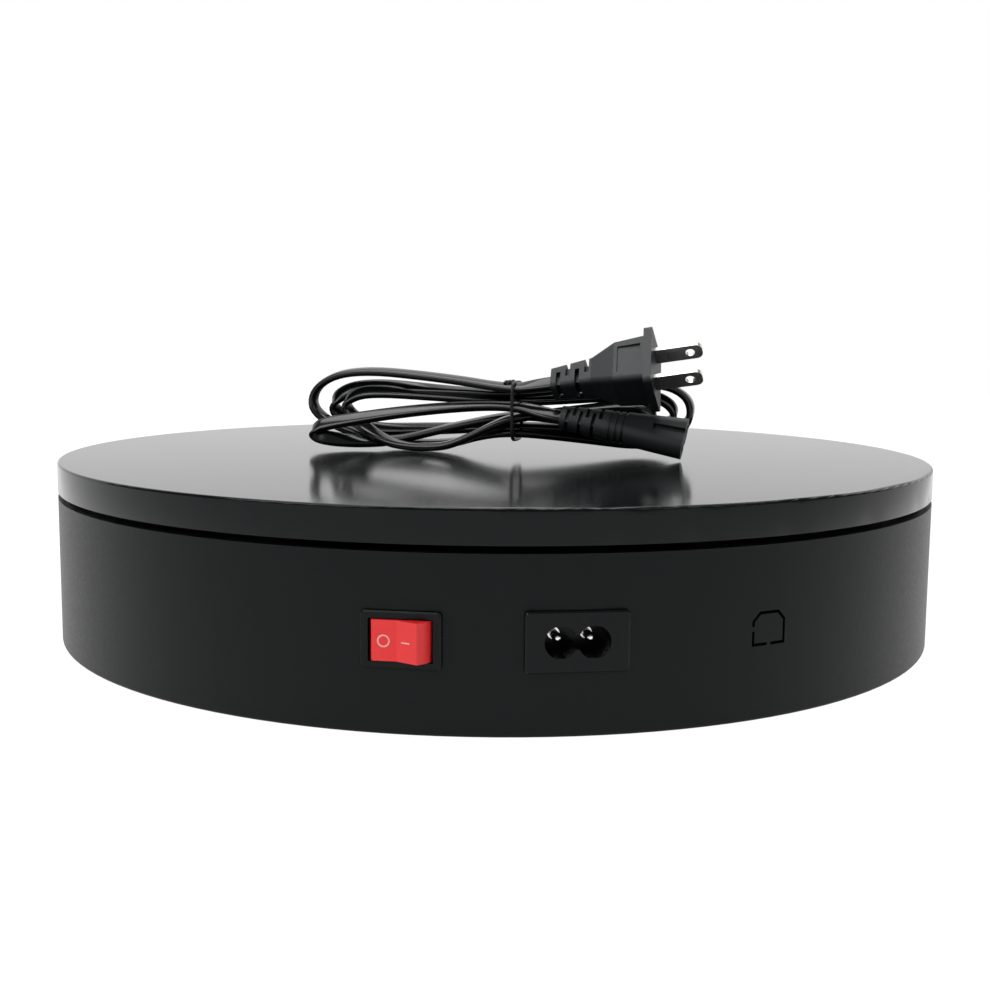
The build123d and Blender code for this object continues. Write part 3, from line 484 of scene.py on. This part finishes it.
def on_switch(across, up, out, turn=0.0):
    """Where a mark lies at the switch, and how it is turned there about the upright."""
    s, c = math.sin(switch_angle), math.cos(switch_angle)
    place = Vector((
        (radius + out) * s + across * c,
        -(radius + out) * c + across * s,
        fitting_height + up,
    ))
    right = Vector((math.cos(switch_angle - turn), math.sin(switch_angle - turn), 0.0))
    upright = Vector((0.0, 0.0, 1.0))
    axes = Matrix((right, upright, right.cross(upright))).transposed().to_4x4()
    return Matrix.Translation(place) @ axes


class TURNTABLE_OT_fittings(bpy.types.Operator):
    """Finish the switch and the inlet, and put the marks on the rocker"""

    bl_idname = "turntable.fittings"
    bl_label = "Switch and Inlet"

    def execute(self, context):
        finishes = context.scene.turntable_finishes
        black = shade(tuple(finishes.housing), 0.9)
        switch = moulded_plastic(
            "switch_plastic", black,
            roughness=0.30, grain=2600.0, depth=0.000006, specular=0.15,
        )
        dress(["switch_housing"], switch)
        inlet = moulded_plastic(
            "inlet_plastic", black,
            roughness=0.24, grain=1500.0, depth=0.000006, specular=0.15,
        )
        dress(["inlet_housing"], inlet)
        dress(["inlet_pins"], metal("pin_metal", (0.82, 0.81, 0.79), 0.16))
        red = moulded_plastic(
            "rocker_red", tuple(finishes.rocker),
            roughness=0.36, grain=1600.0, depth=0.000008, specular=0.45,
        )
        dress(["switch_rocker"], red)
        pale = moulded_plastic(
            "mark_paint", tuple(finishes.marks),
            roughness=0.5, grain=1600.0, depth=0.000005, specular=0.4,
        )
        # Marks stand out by half their thickness
        stroke, thickness = 0.0004, 0.00016
        section = rounded_profile(thickness, stroke, squareness=2.6, count=12)
        outward = Vector((0.0, 0.0, 1.0))
        ring_radius, ring_points = 0.00145, 40
        ring_across, ring_up = -0.0042, -0.0001
        circle = []
        for number in range(ring_points + 1):
            angle = 2 * math.pi * number / ring_points
            circle.append(Vector((math.cos(angle), math.sin(angle), 0.0)) * ring_radius)
        ring = tube("off_mark", circle, [outward] * len(circle), section, closed=True)
        ring.transform(on_switch(ring_across, ring_up, rocker_face))
        link_piece("off_mark", ring, pale, "rocker")
        half_dash = 0.0013
        dash_across, dash_up = 0.0018, -0.0002
        dash_line = [Vector((-half_dash, 0.0, 0.0)), Vector((half_dash, 0.0, 0.0))]
        dash = tube("on_mark", dash_line, [outward] * 2, section)
        dash_out = rocker_face + (dash_across - rocker_valley) * math.tan(rocker_slope)
        dash.transform(on_switch(dash_across, dash_up, dash_out, rocker_slope))
        link_piece("on_mark", dash, pale, "rocker")
        return {"FINISHED"}


def lying(u, v, h):
    """A place given along the hank, across it and up from the platter."""
    c, s = math.cos(hank_turn), math.sin(hank_turn)
    return Vector((
        hank_place[0] + u * c - v * s,
        hank_place[1] + u * s + v * c,
        platter_top + h,
    ))


def pointing(u, v, h):
    """A direction given along the hank, across it and up."""
    return (lying(u, v, h) - lying(0, 0, 0)).normalized()


def strand_at_tie(lead, level, column):
    """Where a strand passes through the tie, and its height."""
    height = lead.waist_low + level * lead.waist_step
    return lying(0, column * lead.waist_half, height), height


def between(place, direction, next_place, next_direction):
    """A point on the way that both directions lead to."""
    reach = (next_place - place).length / 2
    return (place + direction * reach + next_place - next_direction * reach) / 2


def leaning_places(way):
    """Places along the hank, each with how far the flat side leans forward there."""
    return [(lying(u, v, h), math.radians(lean)) for u, v, h, lean in way]


def bend_place(turn, side, reach, rise):
    """A place in the plane of a half turn's bend, so far out on its side and so high."""
    along = side * math.cos(math.radians(turn.bearing))
    aside = math.sin(math.radians(turn.bearing))
    return lying(reach * along, turn.offset + reach * aside, rise)


def bend_direction(turn, side, shoulder, height):
    """Direction outward where a bend meets the strand that passes the tie at that height."""
    along = side * math.cos(math.radians(turn.bearing))
    aside = math.sin(math.radians(turn.bearing))
    slope = shoulder_lean * (shoulder[1] - height) / shoulder[0] - turn.droop
    return pointing(along, aside, slope)


def bend_corners(turn, side):
    """Corners of an eight-sided bend, half of it round from its start and half to its end."""
    corner = 1 / math.cos(math.pi / 8)
    halves = (
        (turn.start, turn.start_lean, (1, 3)),
        (turn.end, turn.end_lean, (5, 7)),
    )
    corners = []
    for shoulder, lean, eighths in halves:
        for eighth in eighths:
            angle = math.pi * eighth / 8
            reach = shoulder[0] + (turn.tip[0] - shoulder[0]) * math.sin(angle) * corner
            rise = turn.tip[1] + (shoulder[1] - turn.tip[1]) * abs(math.cos(angle)) * corner
            corners.append((bend_place(turn, side, reach, rise), math.radians(lean)))
    return corners


def lead_points(lead):
    """Control points of the lead's line from the connector to the plug, each with its lean."""
    away = -pointing(*connector_axis)
    behind = lying(*connector_place) + away * lead.width
    arriving = away
    controls = [
        (lying(*connector_place) - away * end_tuck, plug_roll),
        (behind, plug_roll),
    ]
    strand, height = strand_at_tie(lead, *connector_strand)
    side = -1
    way_back = []
    for number, turn in enumerate(half_turns):
        next_strand, next_height = strand_at_tie(lead, turn.level, turn.column)
        bend_start = bend_place(turn, side, *turn.start)
        through = (bend_start - behind).normalized()
        if number > 0 and not way_back:
            way_back = [(between(behind, arriving, strand, through), lead.tilt)]
        controls += way_back
        controls.append((strand, lead.tilt))
        way_out = leaning_places(ways_out.get(number, []))
        if not way_out:
            outward = bend_direction(turn, side, turn.start, height)
            out = between(strand, through, bend_start, outward)
            way_out = [(out, (lead.tilt + math.radians(turn.start_lean)) / 2)]
        controls += way_out
        controls += bend_corners(turn, side)
        way_back = leaning_places(ways_back.get(number, []))
        behind = bend_place(turn, side, *turn.end)
        arriving = -bend_direction(turn, side, turn.end, next_height)
        strand, height = next_strand, next_height
        side = -side
    arrival = pointing(*plug_axis)
    last = lying(*plug_place) - arrival * lead.width
    through = (last - behind).normalized()
    controls += [
        (between(behind, arriving, strand, through), lead.tilt),
        (strand, lead.tilt),
        (last, plug_roll),
        (lying(*plug_place) + arrival * end_tuck, plug_roll),
    ]
    return controls


class TURNTABLE_OT_mains_lead(bpy.types.Operator):
    """Lay the flat mains lead, tied up, on the platter"""

    bl_idname = "turntable.mains_lead"
    bl_label = "Mains Lead"

    def execute(self, context):
        lead = context.scene.turntable_lead
        controls = lead_points(lead)
        steps_between = 8
        line = smooth_line([point for point, lean in controls], steps_between)
        # The lean eases along the lead just as its line does
        leans = smooth_line([(lean, 0.0, 0.0) for point, lean in controls], steps_between)
        wide_ways = [pointing(0, math.cos(lean.x), math.sin(lean.x)) for lean in leans]
        profile = rounded_profile(lead.width, lead.thickness, squareness=3.4, count=20)
        mesh = tube("mains_lead", line, wide_ways, profile)
        sheath = moulded_plastic(
            "cord_sheath", tuple(context.scene.turntable_finishes.sheath),
            roughness=0.17, grain=700.0, depth=0.00001, specular=0.5,
        )
        piece = link_piece("mains_lead", mesh, sheath, "mains_lead")
        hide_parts("power_cord")
        return {"FINISHED"}


class TURNTABLE_OT_tie(bpy.types.Operator):
    """Wind the wire tie round the hank and twist its ends together"""

    bl_idname = "turntable.tie"
    bl_label = "Wire Tie"

    def execute(self, context):
        lead = context.scene.turntable_lead
        # Half width and heights of the bundle of strands, a little squeezed by the wire
        squeeze = 0.0004
        lean_out = (
            lead.width * math.cos(lead.tilt) + lead.thickness * math.sin(lead.tilt)
        ) / 2
        lean_up = (
            lead.width * math.sin(lead.tilt) + lead.thickness * math.cos(lead.tilt)
        ) / 2
        grip = lead.tie_wire / 2 - squeeze
        half = lead.waist_half + lean_out + grip
        low = lead.waist_low - lean_up - grip
        high = lead.waist_low + len(half_turns) * lead.waist_step + lean_up + grip
        middle, tall = (low + high) / 2, (high - low) / 2
        # Both ends leave the ring to the left and go round one another
        twist_radius = lead.tie_wire * 0.5
        twist_length, twist_turns, twist_points = 0.0036, 1.5, 10
        axis = pointing(-1.0, -0.35, -0.10)
        side = axis.cross(Vector((0.0, 0.0, 1.0))).normalized()
        above = side.cross(axis)
        tie_along = 0.0010
        root_back, root_across, root_sunk = 0.0004, -0.0012, 0.0002
        root = lying(tie_along - root_back, root_across, high - root_sunk)

        def twisted(start_angle):
            """Control points of one end, from the ring out along the twist."""
            points = []
            for number in range(twist_points + 1):
                share = number / twist_points
                angle = start_angle + 2 * math.pi * twist_turns * share
                around = side * math.cos(angle) + above * math.sin(angle)
                points.append(root + axis * twist_length * share + around * twist_radius)
            return points

        ring_points, squareness = 28, 5.0
        ring = []
        for number in range(1, ring_points):
            angle = 2 * math.pi * number / ring_points
            s, c = math.sin(angle), math.cos(angle)
            across = -math.copysign(abs(s) ** (2 / squareness), s) * half
            up = math.copysign(abs(c) ** (2 / squareness), c) * tall
            ring.append(lying(tie_along, across, middle + up))
        first_end, second_end = twisted(math.pi), twisted(0.0)
        steps_between = 5
        line = smooth_line([*reversed(first_end), *ring, *second_end], steps_between)
        # The section is carried along the line without turning about it
        ways = []
        wide = side
        for along in directions(line):
            wide = (wide - along * wide.dot(along)).normalized()
            ways.append(wide)
        profile = rounded_profile(lead.tie_wire, lead.tie_wire, squareness=2.0, count=10)
        mesh = tube("wire_tie", line, ways, profile)
        coating = moulded_plastic(
            "tie_wire", (0.010, 0.010, 0.011),
            roughness=0.35, grain=900.0, depth=0.00001, specular=0.4,
        )
        piece = link_piece("wire_tie", mesh, coating, "mains_lead")
        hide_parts("cord_tie")
        return {"FINISHED"}


class TURNTABLE_OT_plug(bpy.types.Operator):
    """Finish the plug, its blades and the connector"""

    bl_idname = "turntable.plug"
    bl_label = "Plug and Connector"

    def execute(self, context):
        colour = tuple(context.scene.turntable_finishes.plug)
        plastic = moulded_plastic(
            "plug_plastic", colour, roughness=0.48, grain=2200.0, depth=0.00001, specular=0.35,
        )
        dress(["plug_body", "cord_connector"], plastic)
        dress(["plug_blades"], metal("blade_metal", (0.82, 0.81, 0.78), 0.32))
        return {"FINISHED"}


# Studio
def add_lamp(name, place, size, power):
    """A softbox that shines from place towards the turntable."""
    light = bpy.data.lights.new(name, "AREA")
    light.shape = "RECTANGLE"
    light.size, light.size_y = size
    light.energy = power
    lamp = bpy.data.objects.new(name, light)
    bpy.context.scene.collection.objects.link(lamp)
    lamp.location = place
    lamp.rotation_mode = "QUATERNION"
    middle = Vector((0.0, 0.0, 0.05))
    lamp.rotation_quaternion = (middle - Vector(place)).to_track_quat("-Z", "Y")


def seen_share(tree, share):
    """Output that is share for what the camera, a gloss or a clear body sees, and 0 otherwise."""
    path = tree.nodes.new("ShaderNodeLightPath")
    seen = path.outputs["Is Camera Ray"]
    for ray in ("Is Glossy Ray", "Is Transmission Ray"):
        either = tree.nodes.new("ShaderNodeMath")
        either.operation = "MAXIMUM"
        tree.links.new(seen, either.inputs[0])
        tree.links.new(path.outputs[ray], either.inputs[1])
        seen = either.outputs[0]
    scaled = tree.nodes.new("ShaderNodeMath")
    scaled.operation = "MULTIPLY"
    scaled.inputs[1].default_value = share
    tree.links.new(seen, scaled.inputs[0])
    return scaled.outputs[0]


def backdrop_material(name, share, strength):
    """White that shows as plain white, and takes a faint shadow where share is under 1."""
    material = new_material(name, (0.9, 0.9, 0.9), 0.9)
    tree = material.node_tree
    glow = tree.nodes.new("ShaderNodeEmission")
    glow.inputs["Strength"].default_value = strength
    mix = tree.nodes.new("ShaderNodeMixShader")
    tree.links.new(seen_share(tree, share), mix.inputs[0])
    tree.links.new(tree.nodes["Principled BSDF"].outputs[0], mix.inputs[1])
    tree.links.new(glow.outputs[0], mix.inputs[2])
    tree.links.new(mix.outputs[0], tree.nodes["Material Output"].inputs["Surface"])
    return material


def stage_sheet(name, corners, material):
    """A flat sheet of the studio, not part of the object."""
    mesh = bpy.data.meshes.new(name)
    mesh.from_pydata([Vector(corner) for corner in corners], [], [range(len(corners))])
    mesh.materials.append(material)
    sheet = bpy.data.objects.new(name, mesh)
    bpy.context.scene.collection.objects.link(sheet)


class TURNTABLE_OT_stage(bpy.types.Operator):
    """Set up the camera, the lamps, the floor and the backdrop"""

    bl_idname = "turntable.stage"
    bl_label = "Studio"

    def execute(self, context):
        scene = context.scene
        studio = scene.turntable_studio
        data = bpy.data.cameras.new("camera")
        data.lens = studio.lens
        data.clip_start = 0.01
        camera = bpy.data.objects.new("camera", data)
        scene.collection.objects.link(camera)
        pitch, roll = studio.camera_pitch, studio.camera_roll
        ahead = Vector((0.0, math.cos(pitch), -math.sin(pitch)))
        level = Vector((1.0, 0.0, 0.0))
        above = level.cross(ahead)
        right = level * math.cos(roll) + above * math.sin(roll)
        up = above * math.cos(roll) - level * math.sin(roll)
        turned = Matrix((right, up, -ahead)).transposed().to_4x4()
        place = Vector((0.0, -studio.camera_distance, studio.camera_height))
        camera.matrix_world = Matrix.Translation(place) @ turned
        scene.camera = camera
        add_lamp("overhead", (-0.1, 0.2, 1.2), (1.3, 0.9), studio.overhead_power)
        add_lamp("front_left", (-1.0, -0.8, 0.9), (0.9, 0.9), studio.left_power)
        add_lamp("front_right", (1.0, -0.8, 0.9), (0.9, 0.9), studio.right_power)
        floor_half = 6.0
        stage_sheet(
            "floor",
            [
                (-floor_half, -floor_half, 0), (floor_half, -floor_half, 0),
                (floor_half, floor_half, 0), (-floor_half, floor_half, 0),
            ],
            backdrop_material("floor", share=0.86, strength=1.16),
        )
        card_distance, card_half, card_height = 1.6, 4.0, 2.5
        stage_sheet(
            "backdrop",
            [
                (-card_half, card_distance, 0), (card_half, card_distance, 0),
                (card_half, card_distance, card_height), (-card_half, card_distance, card_height),
            ],
            backdrop_material("backdrop", share=1.0, strength=1.0),
        )
        # Room: white to the camera, dimmer in reflections and for the light that it gives
        world = bpy.data.worlds.new("room")
        scene.world = world
        world.use_nodes = True
        tree = world.node_tree
        background = tree.nodes["Background"]
        background.inputs["Color"].default_value = (1.0, 1.0, 1.0, 1.0)
        path = tree.nodes.new("ShaderNodeLightPath")
        strength = tree.nodes.new("ShaderNodeMapRange")
        strength.inputs["To Min"].default_value = studio.surround
        strength.inputs["To Max"].default_value = 1.0
        tree.links.new(path.outputs["Is Camera Ray"], strength.inputs["Value"])
        tree.links.new(strength.outputs["Result"], background.inputs["Strength"])
        scene.view_settings.view_transform = "Standard"
        return {"FINISHED"}


class TURNTABLE_PT_pieces(bpy.types.Panel):
    """Lists the steps that dress the turntable"""

    bl_idname = "TURNTABLE_PT_pieces"
    bl_label = "Display Turntable"
    bl_space_type = "VIEW_3D"
    bl_region_type = "UI"
    bl_category = "Turntable"

    def draw(self, context):
        for step in steps:
            self.layout.operator(step.bl_idname)


property_groups = (TurntableFinishes, TurntableLead, TurntableStudio)
steps = (
    TURNTABLE_OT_stage,
    TURNTABLE_OT_tie,
    TURNTABLE_OT_mains_lead,
    TURNTABLE_OT_plug,
    TURNTABLE_OT_housing,
    TURNTABLE_OT_fittings,
    TURNTABLE_OT_workings,
)


def register():
    for group in (*property_groups, *steps, TURNTABLE_PT_pieces):
        bpy.utils.register_class(group)
    bpy.types.Scene.turntable_finishes = PointerProperty(type=TurntableFinishes)
    bpy.types.Scene.turntable_lead = PointerProperty(type=TurntableLead)
    bpy.types.Scene.turntable_studio = PointerProperty(type=TurntableStudio)


def unregister():
    del bpy.types.Scene.turntable_studio
    del bpy.types.Scene.turntable_lead
    del bpy.types.Scene.turntable_finishes
    for group in reversed((*property_groups, *steps, TURNTABLE_PT_pieces)):
        bpy.utils.unregister_class(group)


def main():
    register()
    bpy.ops.turntable.stage()
    bpy.ops.turntable.tie()
    bpy.ops.turntable.mains_lead()
    bpy.ops.turntable.plug()
    bpy.ops.turntable.housing()
    bpy.ops.turntable.fittings()
    bpy.ops.turntable.workings()


if __name__ == "__main__":
    main()
